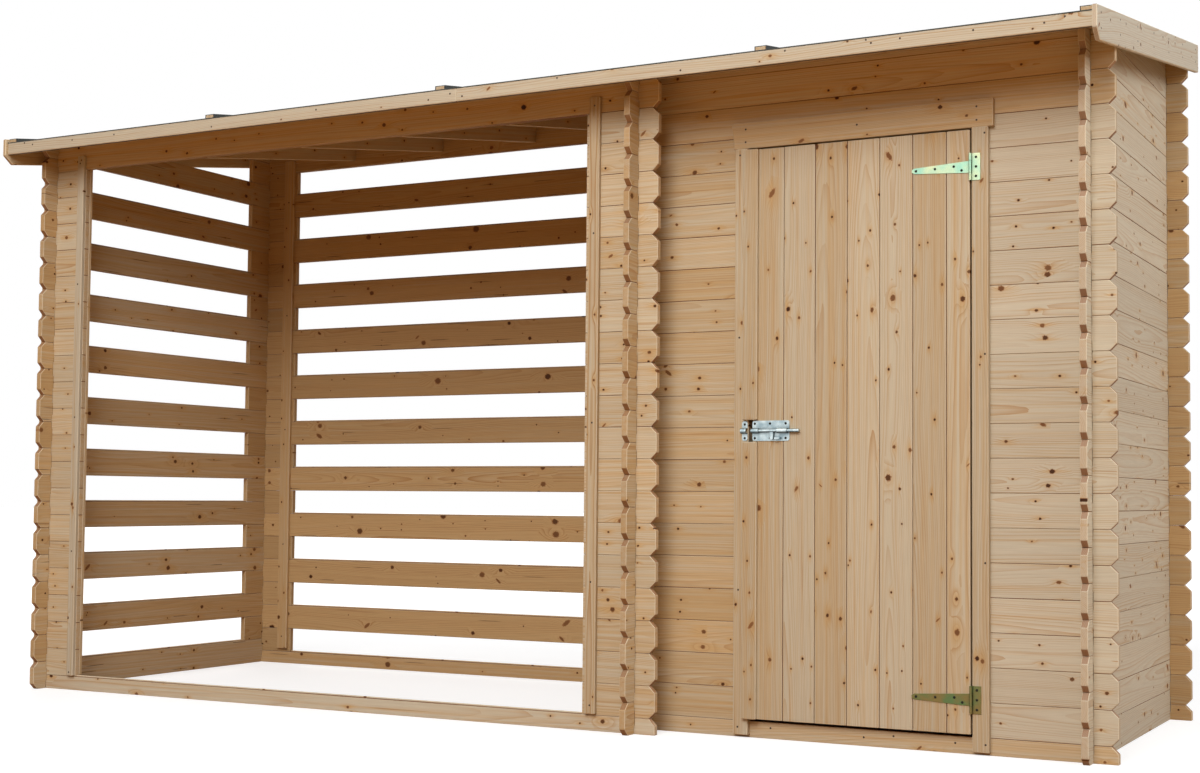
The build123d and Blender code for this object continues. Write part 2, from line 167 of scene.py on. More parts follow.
def spruce(name, along, across, first, board, middle, seed, tilt=0.0, pale=0.0, knots=1.0, pins=1.0,
           figure=1.0, heart=1.0, tone=1.0, underside_shade=0.0, cracks=0.0):
    # Sawn spruce. Each board of the stack gets its own pith, tint and knots; the growth rings are rings
    # round that pith, so faces, edges and ends of one board belong together. A small heart puts the pith
    # behind the middle of the face, where the grain runs in arches. The eased edges get a painted highlight,
    # the notches are darker for end grain and painted shade, and an underside can get painted shade.
    material = new_material(name)
    add, put, calc, mix, noise = wiring(material)
    source = add("TexCoord")
    place = source.outputs["Object"]
    if tilt:
        turned = add("Mapping")
        put(turned.inputs["Vector"], place)
        put(turned.inputs["Rotation"], (-tilt, 0.0, 0.0))
        place = turned.outputs[0]
    split = add("SeparateXYZ")
    put(split.inputs[0], place)
    axes = {"X": split.outputs[0], "Y": split.outputs[1], "Z": split.outputs[2]}
    deep = [axis for axis in "XYZ" if axis not in (along, across)][0]
    length = axes[along]
    stack = calc("DIVIDE", calc("SUBTRACT", axes[across], first), board)
    number = calc("FLOOR", stack)
    side = calc("MULTIPLY", calc("SUBTRACT", calc("SUBTRACT", stack, number), 0.5), board)
    depth = calc("SUBTRACT", axes[deep], middle)
    chance = add("TexWhiteNoise", noise_dimensions="1D")
    put(chance.inputs["W"], calc("ADD", calc("MULTIPLY", number, 1.37), seed))
    lot = add("SeparateColor")
    put(lot.inputs[0], chance.outputs["Color"])
    luck_a, luck_b, luck_c = lot.outputs[0], lot.outputs[1], lot.outputs[2]
    far = calc("MULTIPLY_ADD", luck_a, 40.0, length)

    def grain(x, y, z, detail):
        joined = add("CombineXYZ")
        put(joined.inputs[0], x)
        put(joined.inputs[1], y)
        put(joined.inputs[2], z)
        return noise(1.0, detail, joined.outputs[0])

    def drawn_out(rates, detail):
        return grain(calc("MULTIPLY", far, rates[0]), calc("MULTIPLY", side, rates[1]),
                     calc("MULTIPLY", depth, rates[2]), detail)

    def reach(a, b):
        return calc("SQRT", calc("ADD", calc("MULTIPLY", a, a), calc("MULTIPLY", b, b)))

    def fading(value, limit, width):
        # One up to the limit, then down to zero over the width
        return calc("SUBTRACT", 1.0, calc("DIVIDE", calc("SUBTRACT", value, limit), width), clamp=True)

    # Knots: a whorl of larger ones every 450 mm or so along the log, and pin knots between the whorls
    cell = add("CombineXYZ")
    put(cell.inputs[0], calc("MULTIPLY", far, 1 / KNOT_CELL[0]))
    put(cell.inputs[1], calc("MULTIPLY_ADD", number, 7.3, calc("MULTIPLY", side, 1 / KNOT_CELL[1])))
    spots = add("TexVoronoi", voronoi_dimensions="2D", feature="F1")
    put(spots.inputs["Vector"], cell.outputs[0])
    put(spots.inputs["Scale"], 1.0)
    put(spots.inputs["Randomness"], 1.0)
    away = add("VectorMath", operation="SUBTRACT")
    put(away.inputs[0], cell.outputs[0])
    put(away.inputs[1], spots.outputs["Position"])
    gap = add("SeparateXYZ")
    put(gap.inputs[0], away.outputs[0])
    centre = add("SeparateXYZ")
    put(centre.inputs[0], spots.outputs["Position"])
    spot = add("SeparateColor")
    put(spot.inputs[0], spots.outputs["Color"])
    whorl = calc("FRACT", calc("MULTIPLY", centre.outputs[0], KNOT_CELL[0] / WHORL))
    whorl = fading(calc("ABSOLUTE", calc("SUBTRACT", whorl, 0.5)), 0.10, 0.06)
    size = calc("MULTIPLY_ADD", whorl, KNOT_LARGE * knots - KNOT_PIN * pins, KNOT_PIN * pins)
    size = calc("MULTIPLY", calc("POWER", spot.outputs[0], 1.7), size)
    shown = calc("GREATER_THAN", size, KNOT_LEAST)

    # Some knots of a whorl are cut along their length and show as a leaning spike; all have a ragged
    # outline, a reddish rim and a dark or a live core, and the grain swirls round them
    spike = calc("MULTIPLY", calc("GREATER_THAN", spot.outputs[2], SPIKES_OVER), whorl)
    u = calc("MULTIPLY", gap.outputs[0], KNOT_CELL[0])
    v = calc("MULTIPLY", gap.outputs[1], KNOT_CELL[1])
    lean = calc("MULTIPLY", spike, calc("MULTIPLY_ADD", spot.outputs[1], 1.8, -0.9))
    ragged = grain(calc("MULTIPLY", far, KNOT_RAGGED), calc("MULTIPLY", side, KNOT_RAGGED), number, 1.0)
    apart = reach(calc("MULTIPLY", u, calc("MULTIPLY_ADD", spike, -0.28, 0.85)),
                  calc("MULTIPLY_ADD", u, lean, v))
    apart = calc("MULTIPLY", apart, calc("MULTIPLY_ADD", ragged.outputs["Fac"], 0.8, 0.60))
    rim = calc("MULTIPLY", fading(apart, size, KNOT_RIM_WIDTH), shown)
    core = fading(apart, calc("MULTIPLY", size, 0.80), KNOT_CORE_WIDTH)
    core = calc("MULTIPLY", core, calc("MULTIPLY", shown, calc("MULTIPLY_ADD", spot.outputs[1], 0.8, 0.55,
                                                               clamp=True)))
    flow = reach(calc("MULTIPLY", u, 0.38), v)
    halo = fading(flow, 0.0, calc("MULTIPLY_ADD", size, 4.5, 0.003))
    halo = calc("MULTIPLY", calc("MULTIPLY", halo, halo), shown)
    swirl = calc("MULTIPLY", halo, calc("MULTIPLY", size, 2.3))

    # Growth rings: their pith wanders a little along the log, and their late wood is the darker share
    drift = add("SeparateColor")
    put(drift.inputs[0], grain(calc("MULTIPLY", far, 0.8), seed, number, 1.0).outputs["Color"])
    pith_side = calc("MULTIPLY_ADD", luck_b, PITH_SPREAD * heart,
                     calc("MULTIPLY_ADD", drift.outputs[0], PITH_DRIFT * heart, PITH_SHIFT * heart))
    deepest = PITH_DEPTH + PITH_DEPTH * heart
    pith_deep = calc("MULTIPLY_ADD", luck_c, deepest, calc("MULTIPLY", drift.outputs[1], deepest))
    ring = reach(calc("SUBTRACT", side, pith_side), calc("ADD", depth, pith_deep))
    wobble = drawn_out(WAVES, 2.0)
    ring = calc("ADD", calc("MULTIPLY_ADD", wobble.outputs["Fac"], RING_WAVE, ring), swirl)
    late = calc("POWER", calc("FRACT", calc("DIVIDE", ring, RING)), 2.6)
    strength = grain(calc("MULTIPLY", ring, 130.0), calc("MULTIPLY", far, 0.5), seed, 1.0)
    late = calc("MULTIPLY", late, calc("MULTIPLY_ADD", strength.outputs["Fac"], 2.0, -0.50, clamp=True))

    # Fine fibres, warm streaks, pitch streaks and the board's own tint
    fibre = drawn_out(FIBRES, 2.0)
    streak = drawn_out(STREAKS, 3.0)
    warm = calc("MULTIPLY_ADD", streak.outputs["Fac"], 2.2, calc("MULTIPLY_ADD", luck_c, 0.50, -1.00))
    warm = calc("ADD", warm, calc("MULTIPLY_ADD", halo, 1.0, -pale), clamp=True)
    light = Vector(SPRUCE_LIGHT).lerp(Vector(SPRUCE_PALE), min(max(pale, 0.0), 1.0))
    colour = mix(warm, (*light, 1.0), (*SPRUCE_WARM, 1.0))
    colour = mix(calc("MULTIPLY", late, 0.85 * figure, clamp=True), colour, (*SPRUCE_LATE, 1.0))
    pitch = calc("MULTIPLY_ADD", streak.outputs["Fac"], 11.0, -7.6, clamp=True)
    colour = mix(calc("MULTIPLY", pitch, 0.60), colour, (*KNOT_RIM, 1.0))

    # Faces at 45 degrees to the log's length are its notches, darkened for their end grain and as painted
    # shade; those at 45 degrees to its front are its eased edges, lightened as a painted highlight; its ends
    # are darker than its sides
    facing = add("SeparateXYZ")
    put(facing.inputs[0], source.outputs["Normal"])
    ended = calc("ABSOLUTE", facing.outputs["XYZ".index(along)])
    notch = fading(calc("ABSOLUTE", calc("SUBTRACT", ended, 0.72)), 0.0, 0.20)
    fronted = calc("ABSOLUTE", facing.outputs["XYZ".index(deep)])
    slant = fading(calc("ABSOLUTE", calc("SUBTRACT", fronted, 0.70)), 0.06, 0.12)
    notch = calc("MULTIPLY", notch, calc("SUBTRACT", 1.0, slant))
    colour = mix(calc("MULTIPLY", notch, 0.75), colour, (*NOTCH_GRAIN_AND_SHADE, 1.0))
    colour = mix(calc("MULTIPLY", slant, 0.60), colour, (*EDGE_HIGHLIGHT, 1.0))
    colour = mix(calc("MULTIPLY_ADD", ended, 3.0, -2.65, clamp=True), colour, (*SPRUCE_END, 1.0))

    # Each board has its own lightness, and its fibres vary it finely
    fine = calc("MULTIPLY_ADD", fibre.outputs["Fac"], 0.34, 0.83)
    lightness = calc("MULTIPLY", fine, calc("MULTIPLY_ADD", luck_a, 0.12 * tone, 0.94 * tone))
    toned = add("VectorMath", operation="SCALE")
    put(toned.inputs[0], colour)
    put(toned.inputs["Scale"], lightness)
    colour = toned.outputs[0]
    if underside_shade:
        # Painted shade on the faces that look down
        below = calc("MULTIPLY_ADD", facing.outputs[2], -4.0, -3.0, clamp=True)
        colour = mix(calc("MULTIPLY", below, underside_shade), colour, (*KNOT_AND_SHADE_BROWN, 1.0))
    if board < 1.0:
        # The dark line of the joint between two boards
        joint = calc("GREATER_THAN", calc("ABSOLUTE", side), board / 2 - JOINT_LINE)
        share = calc("MULTIPLY_ADD", drift.outputs[2], 1.9, -0.25, clamp=True)
        colour = mix(calc("MULTIPLY", joint, share), colour, (*JOINT_BROWN, 1.0))
    colour = mix(calc("MULTIPLY", rim, 0.85), colour, (*KNOT_RIM, 1.0))
    inner = mix(calc("MULTIPLY", whorl, calc("MULTIPLY", spot.outputs[2], 0.6)), (*KNOT_AND_SHADE_BROWN, 1.0),
                (*KNOT_LIVE, 1.0))
    colour = mix(core, colour, inner)
    if cracks:
        # Short drying cracks along the grain, in some of the cells that have no whorl
        split_here = calc("MULTIPLY", calc("LESS_THAN", spot.outputs[2], cracks),
                          calc("SUBTRACT", 1.0, whorl))
        bent = calc("MULTIPLY_ADD", wobble.outputs["Fac"], CRACK_WANDER,
                    calc("SUBTRACT", v, CRACK_WANDER / 2))
        crack = calc("MULTIPLY", fading(calc("ABSOLUTE", bent), CRACK_HALF[1], CRACK_FADE[1]),
                     fading(calc("ABSOLUTE", u), CRACK_HALF[0], CRACK_FADE[0]))
        colour = mix(calc("MULTIPLY", crack, split_here), colour, (*KNOT_AND_SHADE_BROWN, 1.0))

    surface = coat(material, colour, calc("MULTIPLY_ADD", late, -0.12, 0.70))
    surface.inputs["Specular IOR Level"].default_value = 0.14
    relief(material, surface, fibre.outputs["Fac"], strength=0.35, deep=0.0004)
    return material


def link_piece(name, mesh, material, body):
    piece = bpy.data.objects.new(name, mesh)
    bpy.context.scene.collection.objects.link(piece)
    mesh.materials.clear()
    mesh.materials.append(material)
    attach(piece, body)
    return piece


def eased(node, material, body="root", edge=EASED, steps=1):
    # The node's own boards with their sharp edges eased, as planed timber has them.
    form = bmesh.new()
    form.from_mesh(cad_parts[node].data)
    bmesh.ops.remove_doubles(form, verts=form.verts, dist=SAME_SPOT)
    bmesh.ops.dissolve_limit(form, angle_limit=FLAT, verts=form.verts, edges=form.edges)
    sharp = [e for e in form.edges if len(e.link_faces) == 2 and e.calc_face_angle() > SHARP]
    bmesh.ops.bevel(form, geom=sharp, offset=edge, offset_type="OFFSET", segments=steps, profile=0.5,
                    affect="EDGES", clamp_overlap=True)
    mesh = bpy.data.meshes.new(node + "_timber")
    form.to_mesh(mesh)
    form.free()
    piece = link_piece(node + "_timber", mesh, material, body)
    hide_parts(node)
    return piece


def wall_logs(node, wood, along, middle, seed, **looks):
    # The logs of one wall; those that run from side to side start half a row lower than the others.
    first = -ROW / 2 if along == "X" else 0.0
    eased(node, spruce(wood, along, "Z", first, ROW, middle, seed, **looks))


store_middle = WALL / 2 - ORIGIN_Y
wall_logs("store_sill", "sill_spruce", "X", store_middle, 3.0, pale=0.4, knots=1.6, pins=0.8)
wall_logs("store_header", "header_spruce", "X", store_middle, 5.0, tone=1.10)
wall_logs("store_front_left_stubs", "left_stub_spruce", "X", store_middle, 7.0, pale=0.1)
wall_logs("store_front_right_stubs", "right_stub_spruce", "X", store_middle, 11.0, pale=0.1)

# Side walls: the left wall's slats and short logs, the partition and the right wall.
# They are the same boards, half a row higher than the front and back logs that they cross. The
# right wall is drawn paler as painted cool light from the sky on that side, and the left wall and the
# partition darker and warmer as painted shade of the store's inside.
STORE_WIDTH = 2.344
SHED_RIGHT = 3.630
left_middle = WALL / 2 - ORIGIN_X
partition_middle = STORE_WIDTH - WALL / 2 - ORIGIN_X
right_middle = SHED_RIGHT - WALL / 2 - ORIGIN_X
wall_logs("left_wall_slats", "left_slat_spruce", "Y", left_middle, 13.0, pale=-0.25, knots=1.2, pins=0.75,
          tone=0.96, cracks=0.16)
wall_logs("left_wall_stubs", "left_corner_spruce", "Y", left_middle, 17.0, pale=-0.6, tone=0.92)
wall_logs("partition_wall", "partition_spruce", "Y", partition_middle, 19.0, pale=-0.2, tone=0.93)
wall_logs("right_wall", "right_wall_spruce", "Y", right_middle, 23.0, pale=0.6)

# Shed front: threshold, the logs beside the doorway and the logs over it.
# Each log ends behind the door's jambs; the top one is bevelled to the roof.
SET_BACK = 0.110
shed_middle = SET_BACK + WALL / 2 - ORIGIN_Y
wall_logs("shed_threshold", "threshold_spruce", "X", shed_middle, 29.0)
wall_logs("shed_front_left_logs", "shed_left_spruce", "X", shed_middle, 31.0, pale=-0.20, tone=0.95)
wall_logs("shed_front_right_logs", "shed_right_spruce", "X", shed_middle, 37.0, pale=0.45, tone=0.96)
wall_logs("shed_front_top_logs", "shed_top_spruce", "X", shed_middle, 41.0, tone=1.08)

# Back wall: long logs in every second row, short ones at the store's corner, and the rows
# behind the shed filled up. The store's part stays open between the long logs.
DEPTH = 1.160
back_middle = DEPTH - WALL / 2 - ORIGIN_Y
# The back wall's logs are drawn darker and warmer than the front's, as painted shade of the store's inside.
wall_logs("back_wall_long_logs", "back_long_spruce", "X", back_middle, 43.0, pale=-0.75, knots=1.6, pins=0.80,
          figure=1.4, tone=0.95, cracks=0.16)
wall_logs("back_wall_corner_stubs", "back_corner_spruce", "X", back_middle, 47.0, pale=-0.90, tone=0.85)
wall_logs("back_wall_shed_logs", "back_shed_spruce", "X", back_middle, 53.0, pale=-0.40, tone=0.90)

# Tongues: the ridge that each log has on its top edge shows on the slats and on the sill,
# where no other log sits on it. It is part of the planed profile, 7 mm wide and 5 mm high.
BACK_ROWS = 22
LEFT_ROWS = 20
TONGUE_WIDTH = 0.007
TONGUE_HEIGHT = 0.005
TONGUE_ROOT = 0.0003
TONGUE_SHOULDER = 0.0035
TONGUE_BEVEL = 0.0015
TONGUE_PLAY = 0.0005
LEFT_STUB = 0.137           # lengths of the short logs that the tongues lie between
RIGHT_STUB = 0.154
BACK_STUB = 0.146
SIDE_STUB = 0.108


def prism(form, outline, axis, low, high, rise=0.0):
    # Adds a solid with the given outline, drawn across an axis, from low to high along it. The far
    # end may lie higher by a rise.
    def corner(a, b, c):
        return {"X": (c, a, b), "Y": (a, c, b), "Z": (a, b, c)}[axis]
    near = [form.verts.new(corner(a, b, low)) for a, b in outline]
    away = [form.verts.new(corner(a, b + rise, high)) for a, b in outline]
    form.faces.new(near)
    form.faces.new(list(reversed(away)))
    count = len(outline)
    for n in range(count):
        m = (n + 1) % count
        form.faces.new((near[n], away[n], away[m], near[m]))


def mesh_of(form, name):
    bmesh.ops.recalc_face_normals(form, faces=form.faces)
    mesh = bpy.data.meshes.new(name)
    form.to_mesh(mesh)
    form.free()
    return mesh


def tongue_outline(middle, top):
    half = TONGUE_WIDTH / 2
    crest = half - TONGUE_BEVEL
    return [(middle - half, top - TONGUE_ROOT), (middle + half, top - TONGUE_ROOT),
            (middle + half, top + TONGUE_SHOULDER), (middle + crest, top + TONGUE_HEIGHT),
            (middle - crest, top + TONGUE_HEIGHT), (middle - half, top + TONGUE_SHOULDER)]


def tongues(name, wood, axis, middle, tops, low, high):
    form = bmesh.new()
    for top in tops:
        prism(form, tongue_outline(middle, top - LOG_JOINT), axis, low + TONGUE_PLAY, high - TONGUE_PLAY)
    link_piece(name, mesh_of(form, name), bpy.data.materials[wood], "root")


tongues("sill_tongue", "sill_spruce", "X", store_middle, [ROW / 2], WALL + LEFT_STUB - ORIGIN_X,
        STORE_WIDTH - WALL - RIGHT_STUB - ORIGIN_X)
tongues("back_slat_tongues", "back_long_spruce", "X", back_middle,
        [(k + 0.5) * ROW for k in range(0, BACK_ROWS, 2)], WALL + BACK_STUB - ORIGIN_X,
        STORE_WIDTH - WALL - BACK_STUB - ORIGIN_X)
tongues("left_slat_tongues", "left_slat_spruce", "Y", left_middle,
        [(k + 1) * ROW for k in range(0, LEFT_ROWS, 2)], WALL + SIDE_STUB - ORIGIN_Y,
        DEPTH - WALL - SIDE_STUB - ORIGIN_Y)

# Upright boards at the store's opening and in its back corners: planed spruce nailed over the
# ends of the short logs, a trim in front and a post behind on each side.
SINGLE = 10.0               # a board that has no neighbour counts as a very wide one
BOARD_EDGE = 0.0015


def board_spruce(node, along, across, seed, tilt=0.0, pale=0.0, knots=1.0, pins=1.0, figure=1.0, heart=1.0,
                 tone=1.0, underside_shade=0.0):
    # A spruce of its own for one single board, with its pith near the board's middle.
    low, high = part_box(node)
    middle = (low + high) / 2
    deep = [axis for axis in "XYZ" if axis not in (along, across)][0]
    first = middle["XYZ".index(across)] - SINGLE / 2
    return spruce(node + "_spruce", along, across, first, SINGLE, middle["XYZ".index(deep)], seed,
                  tilt=tilt, pale=pale, knots=knots, pins=pins, figure=figure, heart=heart, tone=tone,
                  underside_shade=underside_shade)


# The back corner battens are drawn darker and warmer, as painted shade of the store's inside.
for node, seed, figure, heart, pale, tone in (("left_opening_trim", 61.0, 0.9, 1.0, 0.45, 0.93),
                                              ("right_opening_trim", 68.0, 2.2, 0.05, -0.05, 0.94),
                                              ("left_opening_post", 71.0, 1.0, 1.0, 0.0, 1.0),
                                              ("right_opening_post", 73.0, 1.2, 0.5, 0.0, 1.0),
                                              ("back_corner_battens", 79.0, 1.0, 1.0, -0.7, 1.0)):
    eased(node, board_spruce(node, "Z", "X", seed, figure=figure, heart=heart, pale=pale, tone=tone),
          edge=BOARD_EDGE)

# Roof structure: rafters on edge between front and back wall, and the deck of narrow boards that
# run from side to side over them. The boards' eased lower edges show as lines from below.
FALL = math.atan(2 * ROW / (DEPTH - 2 * WALL))
DECK_BOARD = 0.094
DECK_THICKNESS = 0.015
DECK_BEVEL = 0.0022
DECK_JOINT = 0.0004
DECK_LEAST = 0.010
DECK_HEIGHT = 1.9
low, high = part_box("roof_deck")
eased("rafters", spruce("rafter_spruce", "Y", "Z", -SINGLE, 2 * SINGLE, 0.0, 83.0, tilt=FALL))


def deck_low(y):
    return low.z + (y - low.y) * math.tan(FALL)


deck_rise = DECK_THICKNESS / math.cos(FALL)
form = bmesh.new()
y = low.y
while y < high.y - DECK_LEAST:
    y0 = y + DECK_JOINT
    y1 = min(y + DECK_BOARD, high.y)
    prism(form, [(y0, deck_low(y) + DECK_BEVEL), (y0 + DECK_BEVEL, deck_low(y + DECK_BEVEL)),
                 (y1 - DECK_BEVEL, deck_low(y1 - DECK_BEVEL)), (y1, deck_low(y1) + DECK_BEVEL),
                 (y1, deck_low(y1) + deck_rise), (y0, deck_low(y) + deck_rise)], "X", low.x, high.x)
    y = y1
deck_spruce = spruce("deck_spruce", "X", "Y", low.y, DECK_BOARD * math.cos(FALL), DECK_HEIGHT, 89.0)
deck = link_piece("roof_boards", mesh_of(form, "roof_boards"), deck_spruce, "root")
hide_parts("roof_deck")

# Roof edges: fascias across front and back, bargeboards up both sides with a cut nose,
# and the flat battens that hold the felt.
BATTEN_LOT = 0.942          # each batten lies in a lot of its own, so each has its own grain
ROOF_HEIGHT = 2.0
FASCIA_EDGE = 0.0018
BARGE_EDGE = 0.0020
# The front fascias get painted shade on their undersides.
for node, seed in (("front_fascia_left", 97.0), ("front_fascia_right", 101.0)):
    eased(node, board_spruce(node, "X", "Z", seed, pale=0.4, knots=0.8, pins=0.7, figure=1.2, underside_shade=0.85),
          edge=FASCIA_EDGE)
eased("rear_fascia", board_spruce("rear_fascia", "X", "Z", 103.0), edge=FASCIA_EDGE)
eased("left_bargeboard", board_spruce("left_bargeboard", "Y", "Z", 107.0, tilt=FALL), edge=BARGE_EDGE)
# The right bargeboard is drawn palest, as painted cool light from the sky on that side.
eased("right_bargeboard", board_spruce("right_bargeboard", "Y", "Z", 109.0, tilt=FALL, pale=1.0),
      edge=BARGE_EDGE)
eased("roof_battens", spruce("batten_spruce", "Y", "X", -SINGLE, BATTEN_LOT, ROOF_HEIGHT, 113.0),
      edge=BOARD_EDGE)

# Felt: one layer of bitumen roofing felt, dark grey with fine mineral grit and paler worn patches.
# It lies on the deck and is held down by the battens.
FELT_DARK = (0.030, 0.033, 0.034, 1.0)
FELT_GRIT = (0.110, 0.116, 0.112, 1.0)
FELT_WORN = (0.052, 0.060, 0.050, 1.0)
felt = new_material("mineral_felt")
add, put, calc, mix, noise = wiring(felt)
place = add("TexCoord").outputs["Object"]
grit = noise(900.0, place=place)
patches = noise(4.0, detail=6.0, place=place)
put(patches.inputs["Roughness"], 0.65)
colour = mix(calc("MULTIPLY_ADD", grit.outputs["Fac"], 3.0, -1.1, clamp=True), FELT_DARK, FELT_GRIT)
colour = mix(calc("MULTIPLY_ADD", patches.outputs["Fac"], 2.6, -0.95, clamp=True), colour, FELT_WORN)
relief(felt, coat(felt, colour, rough=0.92), grit.outputs["Fac"], strength=0.6, deep=0.0010)
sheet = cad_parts["roof_felt"]
sheet.data.materials.clear()
sheet.data.materials.append(felt)

# Felt strips: a narrow strip is folded over each batten and nailed, and the felt's own edge is
# turned down over the fascias' top edges. Both are the same felt, a little thinner here.
STRIP = 0.0016
LAP = 0.001
HAIR = 0.0001
BATTEN_WIDTH = 0.032
BATTEN_THICKNESS = 0.012
INNER_BATTENS = (0.838, 1.736, 2.784)
low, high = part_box("roof_battens")
batten_places = [low.x] + [x - ORIGIN_X for x in INNER_BATTENS] + [high.x - BATTEN_WIDTH]
slope = math.tan(FALL)
foot = high.z - BATTEN_THICKNESS - (high.y - low.y) * slope
crown = foot + BATTEN_THICKNESS
form = bmesh.new()
for x in batten_places:
    x1 = x + BATTEN_WIDTH
    left_leg = [(x, crown), (x, foot + LAP), (x - STRIP, foot + LAP), (x - STRIP, crown + STRIP)]
    right_leg = [(x1 + STRIP, crown + STRIP), (x1 + STRIP, foot + LAP), (x1, foot + LAP), (x1, crown)]
    if x == batten_places[0]:
        left_leg = [(x, crown), (x, crown + STRIP)]
    if x == batten_places[-1]:
        right_leg = [(x1, crown + STRIP), (x1, crown)]
    prism(form, left_leg + right_leg, "Y", low.y, high.y, rise=(high.y - low.y) * slope)
low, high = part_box("roof_felt")
for node, end, way, edge in (("front_fascia_left", 0, -1, low.y), ("rear_fascia", 1, 1, high.y)):
    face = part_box(node)[end].y
    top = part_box(node)[1].z + HAIR
    prism(form, [(face + way * LAP, top - LAP), (face + way * LAP, top + STRIP), (edge, top + STRIP),
                 (edge, top), (face + way * HAIR, top), (face + way * HAIR, top - LAP)], "X", low.x, high.x)
link_piece("felt_strips", mesh_of(form, "felt_strips"), felt, "root")

# Door surround: two jambs and a head board of planed spruce. They are nailed to the shed's front
# logs and cover their ends round the doorway.
for node, along, across, seed, pale, tone in (("door_jamb_left", "Z", "X", 127.0, 0.1, 0.88),
                                              ("door_jamb_right", "Z", "X", 131.0, 0.25, 0.86),
                                              ("door_head_board", "X", "Z", 137.0, -0.5, 0.91)):
    eased(node, board_spruce(node, along, across, seed, pale=pale, knots=0.8, pins=0.8, tone=tone),
          edge=BOARD_EDGE)

# Door: upright tongue-and-groove boards with bevelled edges, a closing strip down the free side,
# and ledges with braces on the inside.
LEAF_LEFT = 2.671
LEAF_THICKNESS = 0.016
LEAF_BEHIND = 0.0045
LEDGE_THICKNESS = 0.016
BOARD_PITCH = 0.0955
BOARD_JOINT = 0.0006
LEAF_EDGE = 0.0008
leaf_back = SET_BACK - LEAF_BEHIND - ORIGIN_Y
eased("door_boards", spruce("door_spruce", "Z", "X", LEAF_LEFT - BOARD_JOINT / 2 - ORIGIN_X, BOARD_PITCH,
                            leaf_back - LEAF_THICKNESS / 2, 139.0, pale=0.15, knots=1.0, tone=0.92),
      body="door", edge=LEAF_EDGE)
eased("door_closing_strip", board_spruce("door_closing_strip", "Z", "X", 149.0, pale=0.15, knots=0.7,
                                         tone=0.84), body="door", edge=BOARD_EDGE)
eased("door_ledges", spruce("ledge_spruce", "X", "Z", -SINGLE, 2 * SINGLE, leaf_back + LEDGE_THICKNESS / 2,
                            151.0), body="door", edge=BOARD_EDGE)

# Hinges: T-hinges of pressed steel, a tapered strap on the door and an upright plate on the jamb,
# yellow passivated; the lower pair has gone a darker olive.
SPECKS = 420.0
CORNER_SHADE_REACH = 0.010
SHADED_SHARE = 0.15             # share of its colour that the steel keeps in a corner, and on an underside
PRESSED_EDGE = 0.0004
PRESSED_SHARP = math.radians(38)


def plated_steel(name, base, tint, rough, patch):
    # Zinc plate with the cloudy tints of its passivation, and painted shade where parts meet and on its
    # underside.
    material = new_material(name)
    add, put, calc, mix, noise = wiring(material)
    source = add("TexCoord")
    cloud = noise(patch, place=source.outputs["Object"])
    speck = noise(SPECKS, detail=3.0, place=source.outputs["Object"])
    colour = mix(calc("MULTIPLY_ADD", cloud.outputs["Fac"], 4.0, -1.6, clamp=True), (*base, 1.0),
                 (*tint, 1.0))
    # Painted shade: darker where the occlusion finds parts meeting, and on faces that look down.
    corner = add("AmbientOcclusion")
    corner.samples = 6
    put(corner.inputs["Distance"], CORNER_SHADE_REACH)
    unshaded_share = calc("MULTIPLY_ADD", corner.outputs["AO"], 1.0 - SHADED_SHARE, SHADED_SHARE)
    facing = add("SeparateXYZ")
    put(facing.inputs[0], source.outputs["Normal"])
    upper = calc("MULTIPLY_ADD", facing.outputs[2], 1.2, 0.78, clamp=True)
    unshaded_share = calc("MULTIPLY", unshaded_share, calc("MULTIPLY_ADD", upper, 1.0 - SHADED_SHARE, SHADED_SHARE))
    scaled = add("VectorMath", operation="SCALE")
    put(scaled.inputs[0], colour)
    dusty = calc("MULTIPLY_ADD", speck.outputs["Fac"], 0.5, 0.75)
    put(scaled.inputs["Scale"], calc("MULTIPLY", unshaded_share, dusty))
    coat(material, scaled.outputs[0], calc("MULTIPLY_ADD", speck.outputs["Fac"], 0.20, rough), 1.0)
    return material


def plated(node, material, body):
    # A pressed piece with small round edges that catch the light.
    piece = eased(node, material, body=body, edge=PRESSED_EDGE, steps=2)
    piece.data.shade_smooth()
    piece.data.set_sharp_from_angle(angle=PRESSED_SHARP)
    even = piece.modifiers.new("even_normals", "WEIGHTED_NORMAL")
    even.keep_sharp = True
    even.weight = 90


pale_passivate = plated_steel("pale_passivate", (0.52, 0.57, 0.35), (0.30, 0.52, 0.38), 0.34, 20.0)
olive_passivate = plated_steel("olive_passivate", (0.23, 0.16, 0.055), (0.13, 0.18, 0.066), 0.34, 30.0)
bright_zinc = plated_steel("bright_zinc", (0.70, 0.80, 0.81), (0.38, 0.49, 0.53), 0.24, 40.0)
screw_steel = plated_steel("screw_steel", (0.035, 0.030, 0.024), (0.020, 0.020, 0.018), 0.45, 200.0)
plated("upper_hinge_strap", pale_passivate, "door")
plated("upper_hinge_plate", pale_passivate, "root")
plated("lower_hinge_strap", olive_passivate, "door")
plated("lower_hinge_plate", olive_passivate, "root")

# Bolt: bright zinc plate with two pressed guides, a round rod with a hanging knob, a staple for a
# padlock, and the keep on the jamb.
plated("bolt_plate", bright_zinc, "door")
plated("padlock_staple", bright_zinc, "door")
plated("bolt_rod", bright_zinc, "door_bolt")
plated("bolt_keep", bright_zinc, "root")

# Screws: small domed steel heads with a cross recess. They hold the hinges, the bolt's plate and
# its keep to the timber.
SCREW_RADIUS = 0.0036
SCREW_RISE = 0.0014
SCREW_CURVE = ((1.0, 0.0), (0.92, 0.45), (0.72, 0.78), (0.46, 0.95))    # shares of radius and rise
SCREW_SIDES = 16
CROSS_ARM = 0.62 * SCREW_RADIUS
CROSS_SLOT = 0.15 * SCREW_RADIUS
CROSS_LIFT = 0.00004
FIRST_TURN = 0.4
NEXT_TURN = 1.1


